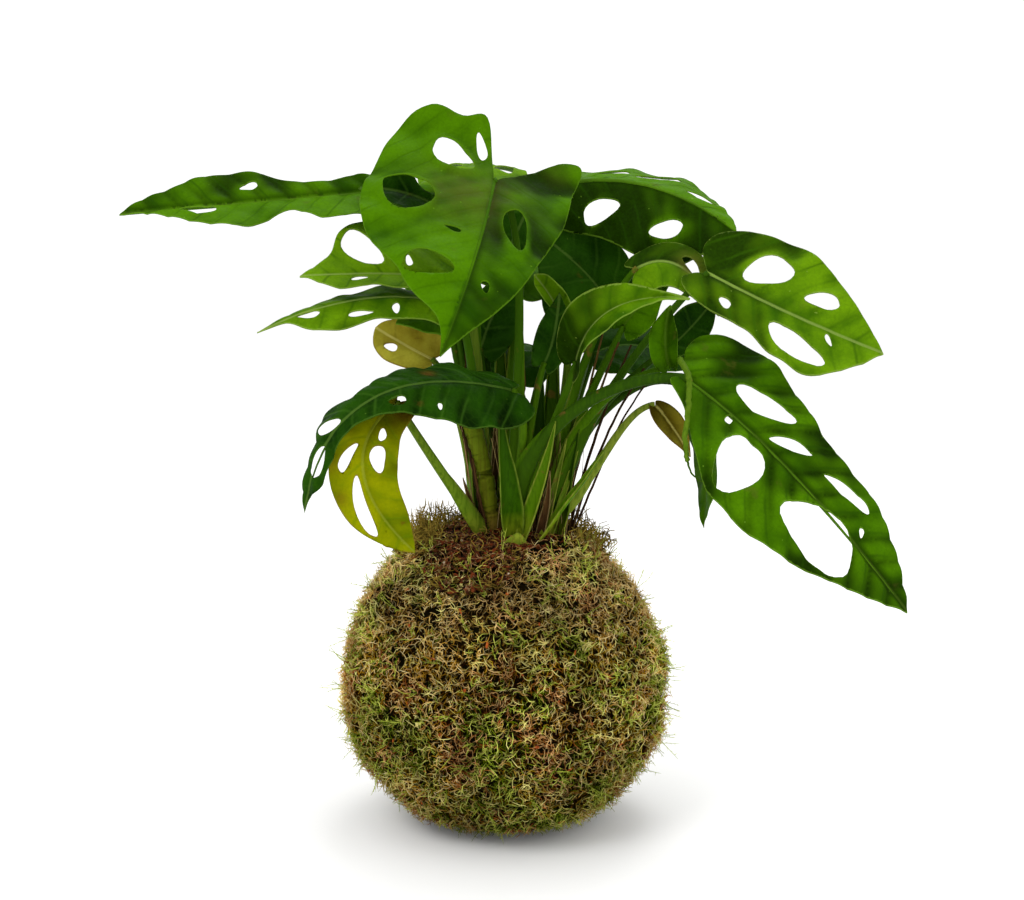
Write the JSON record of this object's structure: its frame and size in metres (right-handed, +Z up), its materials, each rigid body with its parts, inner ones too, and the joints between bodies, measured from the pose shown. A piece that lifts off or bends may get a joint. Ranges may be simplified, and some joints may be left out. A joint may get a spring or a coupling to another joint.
{
  "type": "kokedama moss ball plant",
  "caption": "Moss-covered soil ball with a clump of arching, hole-cut evergreen leaves growing from its top.",
  "frame": {"origin": "centre of the flat spot under the moss ball that it rests on", "axes": "+Z up through the ball to the leaves, -Y towards the front, where the camera stands, +X to the right seen from there"},
  "size_m": [0.304, 0.208, 0.2943],
  "materials": {
    "moss": "rough",
    "soil": "rough",
    "leafGreen": "satin",
    "leafDark": "glossy",
    "leafYoung": "satin",
    "leafYellow": "satin",
    "leafWithered": "matte",
    "stalk": "satin"
  },
  "bodies": {
    "root": {"moss_skin": "moss", "soil_ball": "soil", "shoot_a_left": "stalk", "shoot_b_front": "stalk", "shoot_c_right": "stalk", "shoot_d_back_left": "stalk", "shoot_e_back_right": "stalk", "leaf_01_front_crest": "leafGreen", "leaf_02_top_right": "leafDark", "leaf_03_right_upper": "leafYoung", "leaf_04_right_lower": "leafGreen", "leaf_05_far_left": "leafGreen", "leaf_06_left_upper": "leafYoung", "leaf_07_left_middle": "leafGreen", "leaf_08_yellow_brown": "leafWithered", "leaf_09_dark_arched": "leafDark", "leaf_10_yellow_green": "leafYellow", "leaf_11_young_folded": "leafYoung", "leaf_12_right_inner": "leafYoung", "leaf_13_centre_dark": "leafDark", "leaf_14_young_upright": "leafYoung", "leaf_15_right_hanging": "leafGreen", "leaf_16_small_withered": "leafWithered", "leaf_17_right_behind": "leafDark", "leaf_18_back_top": "leafYoung", "leaf_19_back_left": "leafGreen", "leaf_20_back_right": "leafGreen", "leaf_21_back_lower": "leafDark", "leaf_22_young_rolled": "leafYoung"}
  },
  "joints": []
}
